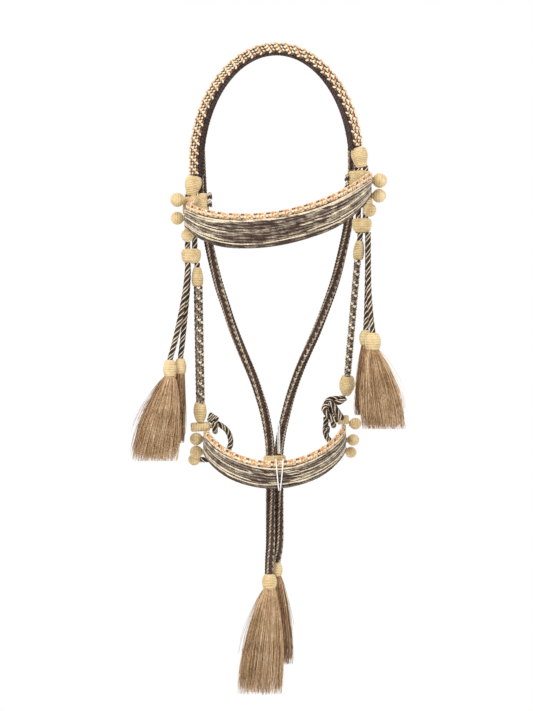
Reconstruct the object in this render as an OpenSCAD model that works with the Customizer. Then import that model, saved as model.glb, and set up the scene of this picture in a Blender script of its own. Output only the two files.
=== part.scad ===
// Braided headstall of a rope halter, hanging from the middle of its crown.
// Origin: underside of the crown at its top. +Z is up and the face side looks along -Y.

/* [Crown] */
// Half width of the crown arch, to the middle of the strap
crown_half_w = 112; // [92:1:136]
// Height of the crown arch, to the middle of the strap
crown_rise = 163; // [134:1:198]
// Thickness of the braided crown strap
crown_t = 13; // [10:0.5:15]
// Depth of the crown strap, front to back
crown_d = 22; // [16:0.5:22]
// Thickness of the dark lining under the crown
lining_t = 2; // [1:0.5:3]
// How far the strap turns its lining forward at the ends, in degrees
crown_turn = 22; // [0:1:24]
// Where the left leg ends, in degrees below the widest point
left_leg_end = 5; // [2:1:8]
// Where the right leg ends, in degrees above the widest point
right_leg_end = 9; // [6:1:12]
// Length of a crown knot
crown_knot_l = 29; // [24:1:34]
// Widest radius of a crown knot
crown_knot_r = 11.7; // [9:0.1:12.5]

/* [Hanger cords and fork keepers] */
// How far the hanger cords hang outside the crown's widest point
hanger_out = 7.5; // [5:0.5:10]
// Diameter of the hanger, tassel and tie cords
cord_d = 8; // [6:0.5:8]
// Distance between the two hanger cords of one side
hanger_pitch = 10; // [9:0.5:11]
// Length of the left hanger cords
left_hanger_l = 94; // [85:1:114]
// Length of the right hanger cords
right_hanger_l = 91; // [82:1:111]
// Radius of a fork keeper around one cord
keeper_r = 9; // [8:0.5:10]
// Height of a fork keeper
keeper_h = 20; // [16:1:24]

/* [Browband] */
// How far the browband's ends stand outside the hanger cords
brow_out_x = 8; // [6:0.5:10]
// How far the browband stands forward in the middle
brow_bulge = 89; // [72:1:108]
// How far the browband droops in the middle
brow_droop = 33; // [25:1:42]
// Height of the woven browband in the middle
brow_h = 39.5; // [32:0.5:48]
// How much narrower the browband is at its ends
brow_taper = 15; // [10:1:18]
// How much the browband's ends are drawn up
brow_lift = 13; // [8:1:16]
// Thickness of the woven bands
band_t = 5; // [4:0.5:6]
// Size of the braided piping on the bands
piping_d = 7.5; // [6:0.5:9]

/* [Cheeks] */
// Length of a cheek strap between its knots
cheek_l = 165; // [135:1:200]
// Depth of a cheek strap with its piping
cheek_d = 22; // [18:0.5:24]
// Thickness of the braided edge of a cheek strap
cheek_edge_d = 9; // [7:0.5:10]
// Thickness of the woven part of a cheek strap
cheek_t = 5.5; // [4:0.5:6]
// Length of a cheek's top knot
top_knot_l = 26; // [22:1:30]
// Radius of a cheek's top knot
top_knot_r = 7.75; // [6.5:0.25:8]
// Length of a cheek's bottom knot
bottom_knot_l = 28; // [24:1:32]
// Radius of the left cheek's bottom knot
left_bottom_knot_r = 8.9; // [7.5:0.1:10]
// Radius of the right cheek's bottom knot
right_bottom_knot_r = 11; // [9:0.1:11.5]

/* [Noseband] */
// How far the noseband stands forward in the middle
nose_bulge = 95; // [76:1:115]
// How far the noseband droops in the middle
nose_droop = 45.5; // [34:0.5:53]
// Height of the woven noseband
nose_h = 30; // [25:0.5:36]
// Radius of the bars at the noseband's ends
bar_r = 6.5; // [5:0.1:7]
// Radius of the pins that the tie loops turn on
pin_r = 3; // [2.5:0.1:3.5]
// Clearance of the tie loops on their pins
loop_gap = 0.4; // [0.3:0.1:0.8]

/* [Throat ropes and tassels] */
// Diameter of the throat ropes
rope_d = 12.5; // [10:0.5:12.5]
// Wall of the throat keeper around the ropes
throat_keeper_wall = 3.5; // [2.5:0.5:5]
// Height of the throat keeper
throat_keeper_h = 44; // [30:1:50]
// Clearance of the throat keeper on the ropes
slide_gap = 0.4; // [0.3:0.1:0.8]
// Gap between pieces that move past each other
move_gap = 0.5; // [0.3:0.1:0.8]

/* [Hidden] */
$fn = 48;

LEFT = -1;
RIGHT = 1;
cord_r = cord_d / 2;
rope_r = rope_d / 2;
thread_r = 0.9;
touch = 0.05; // gap between soft pieces that lie on each other
cord_sides = 10;

// Crown
crown_top = lining_t + crown_t / 2;
crown_mid_z = crown_top - crown_rise;
crown_steps = 36;
crown_edge = 3; // chamfer of the strap's long edges

// The hanger cords start under the crown knots and end in the fork keepers.
hanger_x = crown_half_w + hanger_out;
left_leg = crown_point(180 + left_leg_end);
right_leg = crown_point(right_leg_end);
left_hanger_top = [-hanger_x, 0, left_leg[2] - crown_knot_l];
right_hanger_top = [hanger_x, 0, right_leg[2] - crown_knot_l];
left_fork = left_hanger_top - [0, 0, left_hanger_l];
right_fork = right_hanger_top - [0, 0, right_hanger_l];

// Collars of the browband on the hanger cords
collar_h = 24;
collar_wall = 2.5;
collar_r = cord_r + 0.3 + collar_wall;
left_reach = 18.5; // from the inner cord to the collar's inner edge
right_reach = 13;

// Browband: where its middle line starts and ends
brow_x = 2;
brow_half_w = hanger_x + brow_out_x;
brow_y = -collar_r - 4.25;
left_brow_z = left_hanger_top[2] - 45;
right_brow_z = right_hanger_top[2] - 42;
band_steps = 30;
wrap_t = 6.5;
piping_flat = band_t * 0.9;
ball_neck = 0.6; // how far a neck stands out of its ball
cap_r = 6.5;
left_cap = left_hanger_top + [4.5, -collar_r - cap_r - 0.3, -6.5];
right_cap = right_hanger_top + [-1.5, -collar_r - cap_r - 0.3, -11];

// Cheeks hang from pivots just under the fork keepers.
pivot_drop = cord_r + move_gap;
left_pivot = left_fork + [8.5, 0, -pivot_drop];
right_pivot = right_fork + [-2.5, 0, -pivot_drop];
left_hang = unit([0.015, 0.123, -1]);
right_hang = unit([-0.083, 0.107, -1]);
left_link_l = 1.5;
right_link_l = 7;
left_turn = 22; // how far each strap turns its outer face forward
right_turn = -7;
left_cheek_end = left_link_l + top_knot_l + cheek_l + bottom_knot_l;
right_cheek_end = right_link_l + top_knot_l + cheek_l + bottom_knot_l;

// Noseband: its bars lie on the line that it turns about.
left_bar = left_pivot + left_hang * (left_cheek_end + move_gap + bar_r);
right_bar = [right_pivot[0] - 22.5, left_bar[1], left_bar[2] + 10];
bar_tilt = atan2(right_bar[2] - left_bar[2], right_bar[0] - left_bar[0]);
left_bar_l = 27;
right_bar_l = 16;
pin_l = 12;
nose_left = left_bar[0] + 7;
nose_right = right_bar[0] + 1;
nose_x = (nose_left + nose_right) / 2;
nose_half_w = (nose_right - nose_left) / 2;
nose_y = left_bar[1];
left_nose_z = left_bar[2] - bar_r - nose_h / 2 - 1;
right_nose_z = right_bar[2] - bar_r - nose_h / 2 - 7;
piping_skip = 2; // steps at each end of the noseband, clear of the bars
loop_r = pin_r + loop_gap + cord_r;
left_loop = left_bar + [left_bar_l / 2 + 7, 0, 0.8];
right_loop = right_bar - [right_bar_l / 2 + 6, 0, 0.8];

// Throat ropes hang from a line behind the crown's legs and lie side by side in the keeper.
left_rope_x = -8.5;
right_rope_x = 3.5;
left_rope_y = 15.5;
right_rope_y = 24.5;
left_rope_route = [
    [-107, 20, -132], [-106, 20, -160], [-104, 20, -195], [-100, 20, -230], [-95, 20, -265],
    [-83, 20, -315], [-72, 19, -350], [-61, 18, -383], [-47, 17, -418], [-33, 16, -451],
    [-23, 16, -480], [-16, 15.5, -505], [-10.5, 15.5, -535], [-8.5, 15.5, -560],
    [-8.5, 15.5, -600], [-8.5, 15.5, -640], [-8.5, 15.5, -685], [-9.5, 12, -706], [-10, 10, -725],
    [-10, 10, -728],
];
right_rope_route = [
    [107, 20, -132], [107, 20, -160], [105, 20.5, -195], [101, 21, -235], [93, 21, -275],
    [83, 21.5, -315], [71, 22, -350], [57, 22, -386], [44, 23, -415], [32, 23, -443],
    [21, 24, -475], [13, 24, -505], [6.5, 24.5, -535], [3.5, 24.5, -560],
    [3.5, 24.5, -600], [3.5, 24.5, -640], [3.5, 24.5, -685], [-0.5, 28, -710], [-0.5, 28, -713],
];
thread_bottom = -559.5;
thread_top = -517;

// Side tassels: each cord runs from its pivot under the fork keeper to its knot.
tassel_pitch = cord_d + 0.8;
left_tassel_pivot = left_fork + [-4.5, 0, -pivot_drop];
right_tassel_pivot = right_fork + [8.5, 0, -pivot_drop];
left_front_route = [
    [-1, -0.5, -14], [-4, -1, -38], [-11, -2, -75], [-18, -2.5, -106], [-25, -3, -128], [-25, -3, -131],
];
left_back_route = [
    [0, 0.5, -14], [-1.5, 1, -38], [-5, 2, -75], [-8, 2.5, -106], [-11, 3, -126], [-11, 3, -129],
];
right_front_route = [
    [0, -1, -14], [0, -3, -38], [0.5, -6, -75], [3, -8.5, -110], [6, -9.6, -133], [6, -9.6, -136],
];
right_back_route = [
    [0, 0, -14], [0, 0, -38], [-0.5, 0.5, -75], [-1.5, 0.6, -110], [-2.6, 0.6, -129], [-2.6, 0.6, -132],
];

// Tie cords: from the tie knot, behind the noseband and down to the ball.
left_tie_route = [
    [10, 6, 0], [18, 9, -8], [22, 12, -20], [20, 14, -32], [11, 15, -42], [0, 15, -46], [-11, 15, -48],
    [-21.5, 15, -48],
];
right_tie_route = [
    [-10, 12, -6], [-11, 13, -15], [-8, 13, -25], [0, 13, -34], [8, 13, -39], [18, 13, -43],
];

function unit(v) = v / norm(v);
function flat(lists) = [for (one = lists) each one];

// A point of the crown's middle line, from 0 degrees at the right to 180 at the left
function crown_point(a) = [crown_half_w * cos(a), 0, crown_mid_z + crown_rise * sin(a)];

// Outlines, counter-clockwise: an oval, and a bar with cut edges
function oval(rx, ry, sides = 20) = [for (i = [0:sides - 1]) let (a = 360 * i / sides) [rx * cos(a), ry * sin(a)]];
function cut_bar(w, h, c) = [
    [w / 2, -h / 2 + c], [w / 2, h / 2 - c], [w / 2 - c, h / 2], [-w / 2 + c, h / 2],
    [-w / 2, h / 2 - c], [-w / 2, -h / 2 + c], [-w / 2 + c, -h / 2], [w / 2 - c, -h / 2],
];

// A ring of points: an outline laid out from a centre along two directions
function ring(centre, u, v, outline) = [for (p = outline) centre + p[0] * u + p[1] * v];

// Joins rings of equal length into one closed solid. The diagonal of each side can be swapped.
module loft(rings, swap = false) {
    n = len(rings[0]);
    m = len(rings);
    sides = [for (i = [0:m - 2], j = [0:n - 1])
        let (k = (j + 1) % n, a = i * n + j, b = i * n + k, c = a + n, d = b + n)
        each swap ? [[a, c, b], [b, c, d]] : [[a, c, d], [a, d, b]]];
    start = [[for (j = [0:n - 1]) j]];
    end = [[for (j = [n - 1:-1:0]) (m - 1) * n + j]];
    polyhedron(points = flat(rings), faces = concat(start, sides, end));
}

// The direction of a route at one of its points
function along(route, i) =
    unit(route[min(i + 1, len(route) - 1)] - route[max(i - 1, 0)]);

// A round cord along a route that never runs along its level direction
module tube(route, r, sides = cord_sides, level = [0, 1, 0]) {
    loft([for (i = [0:len(route) - 1])
        let (t = along(route, i), u = unit(cross(t, level)), v = cross(t, u))
        ring(route[i], u, v, [for (j = [0:sides - 1]) r * [cos(360 * j / sides), -sin(360 * j / sides)]])]);
}

function from_point(start, route) = [for (p = route) start + p];

// Places children so that their -Z runs from a point along a direction.
module hang(start, direction, turn = 0) {
    translate(start)
        rotate([asin(direction[1]), atan2(-direction[0], -direction[2]), 0])
            rotate([0, 0, turn])
                children();
}

// A knot that hangs from its top face: three radii, and the level of the widest
function knot_radius(t, top, mid, bottom, level) =
    t < level ? top + (mid - top) * sin(90 * t / level)
              : bottom + (mid - bottom) * cos(90 * (t - level) / (1 - level));
module round_knot(length, top, mid, bottom, level = 0.45) {
    steps = 12;
    outline = [for (i = [0:steps])
        [knot_radius(i / steps, top, mid, bottom, level), -length * i / steps]];
    rotate_extrude() polygon(concat([[0, 0]], outline, [[0, -length]]));
}
module oval_knot(length, top, mid, bottom, wider, level = 0.45) {
    steps = 10;
    loft([for (i = [steps:-1:0])
        let (r = knot_radius(i / steps, top, mid, bottom, level))
        ring([0, 0, -length * i / steps], [1, 0, 0], [0, 1, 0], oval(r, r + wider))]);
}

// ---- Crown ----

// Directions across the strap: outward, and from its front edge to its back edge
function crown_out(a) = unit([crown_rise * cos(a), 0, crown_half_w * sin(a)]);
function crown_roll(a) = crown_turn * pow(cos(a), 2);
function crown_u(a) = cos(crown_roll(a)) * crown_out(a) + sin(crown_roll(a)) * [0, 1, 0];
function crown_v(a) = cos(crown_roll(a)) * [0, 1, 0] - sin(crown_roll(a)) * crown_out(a);
function crown_angle(i) = right_leg_end + (180 + left_leg_end - right_leg_end) * i / crown_steps;

module crown_braid() {
    color("burlywood")
        loft([for (i = [0:crown_steps])
            let (a = crown_angle(i))
            ring(crown_point(a), crown_u(a), crown_v(a), cut_bar(crown_t, crown_d, crown_edge))]);
}

module crown_lining() {
    inner = -crown_t / 2;
    half = crown_d / 2 - crown_edge;
    strip = [[inner, -half], [inner, half], [inner - lining_t, half], [inner - lining_t, -half]];
    color("#3a2c26")
        loft([for (i = [0:crown_steps])
            let (a = crown_angle(i))
            ring(crown_point(a), crown_u(a), crown_v(a), strip)], swap = true);
}

module crown_knot(leg, hanger_top) {
    color("wheat")
        hang(leg, unit(hanger_top - leg))
            round_knot(norm(hanger_top - leg) - touch, crown_knot_r * 0.85, crown_knot_r, 7.5, 0.4);
}
module left_crown_knot() { crown_knot(left_leg - [3.5, 0, 1.5], left_hanger_top); }
module right_crown_knot() { crown_knot(right_leg + [3.5, 0, -1.5], right_hanger_top); }

module hanger_cords(top, length) {
    color("#4a2f26")
        for (side = [-1, 1])
            translate(top + [side * hanger_pitch / 2, 0, -length])
                cylinder(r = cord_r, h = length - 1.5);
}
module left_hanger_cords() { hanger_cords(left_hanger_top, left_hanger_l); }
module right_hanger_cords() { hanger_cords(right_hanger_top, right_hanger_l); }

module fork_keeper(fork) {
    edge = 3;
    outline = [
        [0, 0], [keeper_r - edge - 1.5, 0], [keeper_r - 2, edge], [keeper_r, keeper_h - edge],
        [keeper_r - edge, keeper_h], [0, keeper_h],
    ];
    color("wheat")
        translate(fork)
            difference() {
                union() {
                    for (side = [-1, 1])
                        translate([side * hanger_pitch / 2, 0, 0])
                            rotate_extrude() polygon(outline);
                    rotate([90, 0, 90])
                        linear_extrude(hanger_pitch, center = true)
                            polygon(concat(outline, [for (i = [4:-1:1]) [-outline[i][0], outline[i][1]]]));
                }
                for (side = [-1, 1])
                    translate([side * hanger_pitch / 2, 0, -1])
                        cylinder(r = cord_r, h = keeper_h + 2);
            }
}
module left_fork_keeper() { fork_keeper(left_fork); }
module right_fork_keeper() { fork_keeper(right_fork); }

// ---- Woven bands ----

// A point of a band's middle line: half an ellipse in plan that droops in the middle
function band_point(a, x, y, half_w, bulge, left_z, right_z, droop, power) = [
    x + half_w * cos(a),
    y - bulge * sin(a),
    right_z + (left_z - right_z) * (1 - cos(a)) / 2 - droop * pow(max(sin(a), 0), power),
];
function band_out(a, half_w, bulge) = unit([bulge * cos(a), -half_w * sin(a), 0]);

function brow_point(a) =
    band_point(a, brow_x, brow_y, brow_half_w, brow_bulge, left_brow_z, right_brow_z, brow_droop, 2)
    + [0, 0, brow_lift * pow(cos(a), 6)];
function brow_out(a) = band_out(a, brow_half_w, brow_bulge);
function brow_height(a) = brow_h - brow_taper * pow(cos(a), 6);
function nose_point(a) =
    band_point(a, nose_x, nose_y, nose_half_w, nose_bulge, left_nose_z, right_nose_z, nose_droop, 1.5);
function nose_out(a) = band_out(a, nose_half_w, nose_bulge);

function band_outline(h) = [
    [band_t * 0.45, -h / 2 + 1], [band_t / 2, -h / 2 + 2], [band_t / 2, h / 2 - 2],
    [piping_flat / 2, h / 2], [-piping_flat / 2, h / 2],
    [-band_t / 2, h / 2 - 2], [-band_t / 2, -h / 2 + 2], [-band_t * 0.45, -h / 2 + 1],
    [-band_t * 0.2, -h / 2], [band_t * 0.2, -h / 2],
];
function piping_outline(h) = [
    [-piping_flat / 2, h / 2], [piping_flat / 2, h / 2],
    [piping_d / 2, h / 2 + piping_d * 0.3], [piping_d / 2, h / 2 + piping_d * 0.65],
    [piping_d * 0.2, h / 2 + piping_d], [-piping_d * 0.2, h / 2 + piping_d],
    [-piping_d / 2, h / 2 + piping_d * 0.65], [-piping_d / 2, h / 2 + piping_d * 0.3],
];

module browband() {
    color("#8d7a6c")
        loft([for (i = [0:band_steps])
            let (a = 180 * i / band_steps)
            ring(brow_point(a), brow_out(a), [0, 0, 1], band_outline(brow_height(a)))]);
}
module browband_piping() {
    color("#c98f5a")
        loft([for (i = [0:band_steps])
            let (a = 180 * i / band_steps)
            ring(brow_point(a), brow_out(a), [0, 0, 1], piping_outline(brow_height(a)))], swap = true);
}

// The sewn wrap that closes a band's end, just behind it, from one level up to another
module end_wrap(end, low, high) {
    color("wheat")
        translate(end + [-wrap_t / 2, touch, 0])
            union() {
                translate([0, 0, low]) cube([wrap_t, 4, high - low - wrap_t / 2]);
                translate([wrap_t / 2, 0, high - wrap_t / 2])
                    rotate([-90, 0, 0])
                        cylinder(r = wrap_t / 2, h = 4);
            }
}

// A round end of the piping, folded back over the collar above the wrap
module left_browband_wrap() {
    end_wrap(brow_point(180), -brow_height(180) / 2 + 0.5, brow_height(180) / 2 + 0.5);
    color("wheat") ball(left_cap, cap_r, [0, 1, 0], cap_r + 0.2);
}
module right_browband_wrap() {
    end_wrap(brow_point(0), -brow_height(0) / 2 - 5, brow_height(0) / 2 - 1);
    color("wheat") ball(right_cap, cap_r, [0, 1, 0], cap_r + 0.2);
}

// The collar that holds a browband end to the hanger cords
module collar_shape(r, h, side, inner) {
    for (x = [-hanger_pitch / 2, inner])
        translate([-side * x, 0, 0]) cylinder(r = r, h = h);
    translate([-side * (inner - hanger_pitch / 2) / 2 - (inner + hanger_pitch / 2) / 2, -r, 0])
        cube([inner + hanger_pitch / 2, 2 * r, h]);
}
module browband_collar(top, side, reach, rise) {
    inner = hanger_pitch / 2 + reach - collar_r;
    color("wheat")
        translate(top - [0, 0, collar_h])
            difference() {
                union() {
                    collar_shape(collar_r, collar_h, side, inner);
                    translate([-side * inner, 0, 0]) cylinder(r = collar_r, h = collar_h + rise);
                }
                translate([0, 0, -1]) collar_shape(cord_r + 0.3, collar_h + 2, side, hanger_pitch / 2);
            }
}
module left_browband_collar() { browband_collar(left_hanger_top - [0, 0, 1.5], LEFT, left_reach, 5); }
module right_browband_collar() { browband_collar(right_hanger_top - [0, 0, 5], RIGHT, right_reach, 0); }

// Two cord ends knotted at the inner side of a collar
module collar_knots(top, side, reach, levels) {
    color("#6b5040")
        for (z = levels)
            translate(top + [-side * (hanger_pitch / 2 + reach + 2.7 + touch), 0, z])
                rotate([0, 90, 0])
                    rotate_extrude() translate([2.8, 0]) circle(r = 2.7);
}
module left_collar_knots() { collar_knots(left_hanger_top, LEFT, left_reach, [0, -11.2]); }
module right_collar_knots() { collar_knots(right_hanger_top, RIGHT, right_reach, [-14.5, -25.7]); }

// A crocheted ball whose neck points along a direction and ends flat
module ball(centre, r, neck_direction, neck_l) {
    translate(centre) {
        sphere(r = r);
        hang([0, 0, 0], neck_direction)
            translate([0, 0, -neck_l]) cylinder(r = r * 0.45, h = neck_l);
    }
}
function beside(end, side, r) = end + [side * (wrap_t / 2 + r + ball_neck + touch), 2, 0];

module left_browband_balls() {
    end = brow_point(180);
    a = [end[0] - 12.5, left_cap[1], left_cap[2]];
    low = end[2] - brow_height(180) / 2 - touch - 8.8 - 3.2;
    color("#e6d3a3") {
        ball(a, 9.8, [1, 0, 0], left_cap[0] - cap_r - touch - a[0]);
        ball(beside(end, LEFT, 9.1) + [0, 0, 0.2], 9.1, [1, 0, 0], 9.1 + ball_neck);
        ball([end[0] + 1.5, end[1] - 1.5, low], 8.8, [0, 0, 1], 8.8 + 2.8);
    }
}
module right_browband_balls() {
    end = brow_point(0);
    low = end[2] - brow_height(0) / 2 - 5 - touch - 9.4 - ball_neck;
    color("#e6d3a3") {
        ball(beside(end, RIGHT, 10.1) + [0.4, 0, 10], 10.1, [-1, 0, 0], 10.1 + ball_neck);
        ball(beside(end, RIGHT, 9.6) - [0, 0, 11.2], 9.6, [-1, 0, 0], 9.6 + ball_neck);
        ball([end[0], end[1] - 2.5, low - 4], 9.4, [0, 0, 1], 13.4 + ball_neck);
    }
}

// ---- Cheeks ----

module cheek_link(pivot, direction, length) {
    color("#4a2f26")
        hang(pivot, direction) {
            sphere(r = cord_r);
            translate([0, 0, -length - 3]) cylinder(r = cord_r, h = length + 3);
        }
}
module left_cheek_link() { cheek_link(left_pivot, left_hang, left_link_l); }
module right_cheek_link() { cheek_link(right_pivot, right_hang, right_link_l); }

module cheek_top_knot(pivot, direction, link_l, turn) {
    color("wheat")
        difference() {
            hang(pivot, direction, turn)
                translate([0, 0, -link_l])
                    oval_knot(top_knot_l, 4.8, top_knot_r, 6.5, 3, 0.65);
            hang(pivot, direction)
                translate([0, 0, -link_l - 3]) cylinder(r = cord_r, h = link_l + 10);
        }
}
module left_cheek_top_knot() { cheek_top_knot(left_pivot, left_hang, left_link_l, left_turn); }
module right_cheek_top_knot() { cheek_top_knot(right_pivot, right_hang, right_link_l, right_turn); }

module cheek_strap(pivot, direction, link_l, turn) {
    hang(pivot, direction, turn)
        translate([0, 0, -link_l - top_knot_l - cheek_l + touch])
            linear_extrude(cheek_l - 2 * touch)
                children();
}
module cheek_band_outline() {
    back = cheek_d / 2;
    front = -cheek_d / 2 + cheek_edge_d;
    difference() {
        union() {
            translate([-cheek_t / 2, front - 2]) square([cheek_t, back - front + 2 - cheek_t / 2]);
            translate([0, back - cheek_t / 2]) circle(r = cheek_t / 2);
        }
        cheek_edge_outline();
    }
}
module cheek_edge_outline() {
    translate([0, -cheek_d / 2 + cheek_edge_d / 2]) circle(r = cheek_edge_d / 2);
}
module left_cheek_band() {
    color("#a08d7c") cheek_strap(left_pivot, left_hang, left_link_l, left_turn) cheek_band_outline();
}
module right_cheek_band() {
    color("#a08d7c") cheek_strap(right_pivot, right_hang, right_link_l, right_turn) cheek_band_outline();
}
module left_cheek_piping() {
    color("#b98a62") cheek_strap(left_pivot, left_hang, left_link_l, left_turn) cheek_edge_outline();
}
module right_cheek_piping() {
    color("#b98a62") cheek_strap(right_pivot, right_hang, right_link_l, right_turn) cheek_edge_outline();
}

module cheek_bottom_knot(pivot, direction, end, r, turn) {
    color("wheat")
        hang(pivot, direction, turn)
            translate([0, 0, -end + bottom_knot_l])
                oval_knot(bottom_knot_l, r * 0.72, r, 5, 3, 0.45);
}
module left_cheek_bottom_knot() {
    cheek_bottom_knot(left_pivot, left_hang, left_cheek_end, left_bottom_knot_r, left_turn);
}
module right_cheek_bottom_knot() {
    cheek_bottom_knot(right_pivot, right_hang, right_cheek_end, right_bottom_knot_r, right_turn);
}

// A tie loop runs round the noseband's pin, with the rest of its knot against it.
module tie_loop(centre) {
    translate(centre)
        rotate([0, 90 - bar_tilt, 0])
            rotate_extrude() translate([loop_r, 0]) circle(r = cord_r);
}
module knot_turn(centre, tilt) {
    translate(centre) rotate(tilt) rotate_extrude() translate([cord_r * 0.9, 0]) circle(r = cord_r * 0.85);
}
module left_tie_knot() {
    color("#5a4033") {
        tie_loop(left_loop);
        knot_turn(left_loop + [2, 0, 15], [0, 30, 0]);
        knot_turn(left_loop + [7.5, 3, 9], [20, 70, 0]);
    }
}
module left_tie_cord() {
    color("#4a2f26") tube(from_point(left_loop, left_tie_route), cord_r);
}
module tie_ball(start, route, r) {
    last = len(route) - 1;
    color("#e6d3a3") translate(start + route[last] + (r + touch) * along(route, last)) sphere(r = r);
}
module left_tie_ball() { tie_ball(left_loop, left_tie_route, 8.3); }

module right_tie_strands() {
    knot_end = right_pivot + right_hang * (right_cheek_end + touch);
    color("#4a2f26")
        for (side = [-1, 1])
            tube([
                knot_end + [-2, side * 4.1, -4.2], knot_end + [-10, side * 4.1, -7],
                knot_end + [-19, side * 4.1, -10], knot_end + [-25, side * 4.1, -16],
                knot_end + [-26, side * 4.1 + 1, -23],
            ], cord_r);
}
module right_tie_knot() {
    color("#5a4033") {
        tie_loop(right_loop);
        knot_turn(right_loop + [-9, 0, -14], [20, 100, 0]);
    }
}
module right_tie_cord() {
    color("#4a2f26") tube(from_point(right_loop, right_tie_route), cord_r);
}
module right_tie_ball() { tie_ball(right_loop, right_tie_route, 8); }

// ---- Noseband ----

module noseband() {
    color("#8d7a6c")
        loft([for (i = [0:band_steps])
            let (a = 180 * i / band_steps)
            ring(nose_point(a), nose_out(a), [0, 0, 1], band_outline(nose_h))]);
}
module noseband_piping() {
    color("#c98f5a")
        loft([for (i = [piping_skip:band_steps - piping_skip])
            let (a = 180 * i / band_steps)
            ring(nose_point(a), nose_out(a), [0, 0, 1], piping_outline(nose_h))], swap = true);
}
module left_noseband_wrap() { end_wrap(nose_point(180), 1 - nose_h / 2, nose_h / 2 + 0.9); }
module right_noseband_wrap() { end_wrap(nose_point(0), 1 - nose_h / 2, nose_h / 2 + 6.9); }

module noseband_bar(centre, length, side) {
    color("wheat")
        translate(centre)
            rotate([0, 90 - bar_tilt, 0]) {
                cylinder(r = bar_r, h = length, center = true);
                translate([0, 0, side < 0 ? 0 : -length / 2 - pin_l])
                    cylinder(r = pin_r, h = length / 2 + pin_l);
            }
}
module left_noseband_bar() { noseband_bar(left_bar, left_bar_l, LEFT); }
module right_noseband_bar() { noseband_bar(right_bar, right_bar_l, RIGHT); }

module left_noseband_balls() {
    color("#e6d3a3")
        for (z = [5.2, -13.2])
            ball(beside(nose_point(180), LEFT, 9) + [0, 0, z], 9, [1, 0, 0], 9 + ball_neck);
}
module right_noseband_balls() {
    x = right_bar[0] + right_bar_l / 2 + 8.3 + ball_neck + touch + 0.4;
    color("#e6d3a3") {
        ball([x, nose_y + 2, right_bar[2] - 5.5], 8.3, [-1, 0, 0], 8.3 + ball_neck);
        ball([x - 3, nose_y + 2, right_bar[2] - 28.6], 8.3, [-1, 0, 0], x - 3 - nose_right - wrap_t / 2 - touch);
    }
}

// A thread tied round the middle of the noseband, in two turns that meet at the bottom
module noseband_thread() {
    mid = nose_point(86.3);
    out = band_t / 2 + thread_r + 1.6;
    top = nose_h / 2 + piping_d + thread_r + 1.9;
    side_out = piping_d / 2 + thread_r + 2.7;
    bottom = -nose_h / 2 - thread_r - 0.8;
    color("white")
        for (side = [-1, 1])
            tube([
                mid + [side * 5, side_out, top - 2], mid + [side * 5, -side_out + 2, top],
                mid + [side * 4.5, -side_out, top - 3], mid + [side * 3.5, -out, nose_h / 4],
                mid + [side * 2, -out, -nose_h / 4], mid + [side * 1.2, -out, bottom + 2],
                mid + [side * 1.2, 0.5, bottom], mid + [side * 1.2, out, bottom + 2],
            ], thread_r, 8, [1, 0, 0]);
}

// ---- Side tassels ----

module tassel_cord(pivot, route, front) {
    start = pivot + [0, front * tassel_pitch / 2, 0];
    color("#4a2f26")
        tube(concat([start + [0, 0, -0.01]], from_point(start, route)), cord_r);
}
module left_front_tassel_cord() { tassel_cord(left_tassel_pivot, left_front_route, -1); }
module left_back_tassel_cord() { tassel_cord(left_tassel_pivot, left_back_route, 1); }
module right_front_tassel_cord() { tassel_cord(right_tassel_pivot, right_front_route, -1); }
module right_back_tassel_cord() { tassel_cord(right_tassel_pivot, right_back_route, 1); }

function route_end(pivot, route, front) =
    pivot + [0, front * tassel_pitch / 2, -touch] + route[len(route) - 1];
module tassel_knot(top, r, length) {
    color("wheat") translate(top) round_knot(length, r * 0.6, r, r * 0.75, 0.5);
}
module left_tassel_knots() {
    tassel_knot(route_end(left_tassel_pivot, left_front_route, -1), 9.4, 23);
    tassel_knot(route_end(left_tassel_pivot, left_back_route, 1), 8.5, 22);
}
module right_tassel_knots() {
    tassel_knot(route_end(right_tassel_pivot, right_front_route, -1), 11.3, 24);
    tassel_knot(route_end(right_tassel_pivot, right_back_route, 1), 9.3, 21);
}

// A fan of hair under a knot: it spreads from the knot's bottom to an oval end
module hair(top, r, length, lean, spread) {
    levels = [[1, 0.86], [0.93, 1], [0.7, 0.9], [0.4, 0.62], [0.15, 0.3], [0, 0]];
    color("#b98f62")
        loft([for (l = levels)
            ring(top + [lean[0] * l[0], lean[1] * l[0], -length * l[0]], [1, 0, 0], [0, 1, 0],
                oval(r + (spread[0] - r) * l[1], r + (spread[1] - r) * l[1], 16))]);
}
module left_tassel_hair() {
    hair(route_end(left_tassel_pivot, left_front_route, -1) - [0, 0, 23 + touch], 6.5, 114, [-21, -8], [31, 12]);
    hair(route_end(left_tassel_pivot, left_back_route, 1) - [0, 0, 22 + touch], 6, 94, [-5, 8], [10, 12]);
}
module right_tassel_hair() {
    hair(route_end(right_tassel_pivot, right_front_route, -1) - [0, 0, 24 + touch], 7, 106, [14, -14], [29, 12]);
    hair(route_end(right_tassel_pivot, right_back_route, 1) - [0, 0, 21 + touch], 6, 95, [-5, -7], [11, 8]);
}

// ---- Throat ropes ----

module left_throat_rope() { color("#4a2f26") tube(left_rope_route, rope_r, 12); }
module right_throat_rope() { color("#4a2f26") tube(right_rope_route, rope_r, 12); }

// Ends of the noseband thread, lying on the front of the right rope
module rope_thread() {
    y = right_rope_y - rope_r - thread_r - 0.4;
    color("white")
        for (side = [-1, 1])
            tube([
                [right_rope_x + side * 1.1, y, thread_bottom],
                [right_rope_x - 0.2 + side * 1.1, y, (thread_bottom + thread_top) / 2],
                [right_rope_x - 0.7 + side * 1.1, y - 0.3, thread_top],
            ], thread_r, 8);
}

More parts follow.
